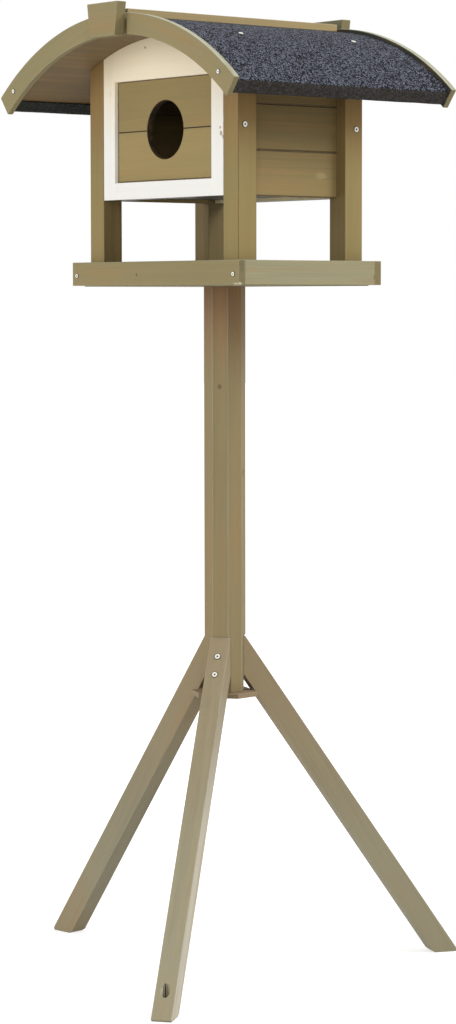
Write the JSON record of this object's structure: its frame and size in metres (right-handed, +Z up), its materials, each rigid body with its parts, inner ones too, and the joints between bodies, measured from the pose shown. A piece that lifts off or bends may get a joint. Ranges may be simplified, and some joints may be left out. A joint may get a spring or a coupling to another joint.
{
  "type": "bird feeder",
  "caption": "Free-standing wooden bird feeder: a framed nest box over an open feeding tray, under a felted barrel roof, on an octagonal post with splayed tripod legs.",
  "frame": {"origin": "on the ground, under the axis of the post, at the centre of the circle of the peg holes", "axes": "+Z up; the front gable with the entrance hole faces -Y; +X is to the right of a person who faces that gable"},
  "size_m": [0.5335, 0.5368, 1.1815],
  "materials": {
    "stand_wood": "olive-brown stained timber, matt",
    "tray_wood": "olive-brown stained timber, matt",
    "house_wood": "olive-brown stained timber, matt",
    "frame_paint": "off-white painted timber, matt",
    "roof_wood": "olive-brown stained timber, matt",
    "lath_wood": "pale tan stained timber, matt",
    "roofing_felt": "slate-blue mineral granules",
    "screw_heads": "white-coated steel"
  },
  "bodies": {
    "root": {"main_post": "stand_wood", "front_leg": "stand_wood", "right_leg": "stand_wood", "left_leg": "stand_wood", "leg_plate": "stand_wood", "tray_floor": "tray_wood", "tray_rim_front": "tray_wood", "tray_rim_back": "tray_wood", "tray_rim_left": "tray_wood", "tray_rim_right": "tray_wood", "corner_post_front_left": "house_wood", "corner_post_front_right": "house_wood", "corner_post_back_left": "house_wood", "corner_post_back_right": "house_wood", "front_lower_board": "house_wood", "front_upper_board": "house_wood", "back_lower_board": "house_wood", "back_upper_board": "house_wood", "left_side_board_lower": "house_wood", "left_side_board_middle": "house_wood", "left_side_board_upper": "house_wood", "right_side_board_lower": "house_wood", "right_side_board_middle": "house_wood", "right_side_board_upper": "house_wood", "nest_floor": "house_wood", "front_stile_left": "frame_paint", "front_stile_right": "frame_paint", "front_rail": "frame_paint", "front_spandrel": "frame_paint", "back_stile_left": "frame_paint", "back_stile_right": "frame_paint", "back_rail": "frame_paint", "back_spandrel": "frame_paint", "roof_deck": "roof_wood", "front_fascia_left": "roof_wood", "front_fascia_right": "roof_wood", "back_fascia_left": "roof_wood", "back_fascia_right": "roof_wood", "front_keystone": "roof_wood", "back_keystone": "roof_wood", "ridge_lath": "lath_wood", "roof_felt": "roofing_felt", "leg_screws": "screw_heads", "tray_screws": "screw_heads", "house_screws": "screw_heads"}
  },
  "joints": []
}
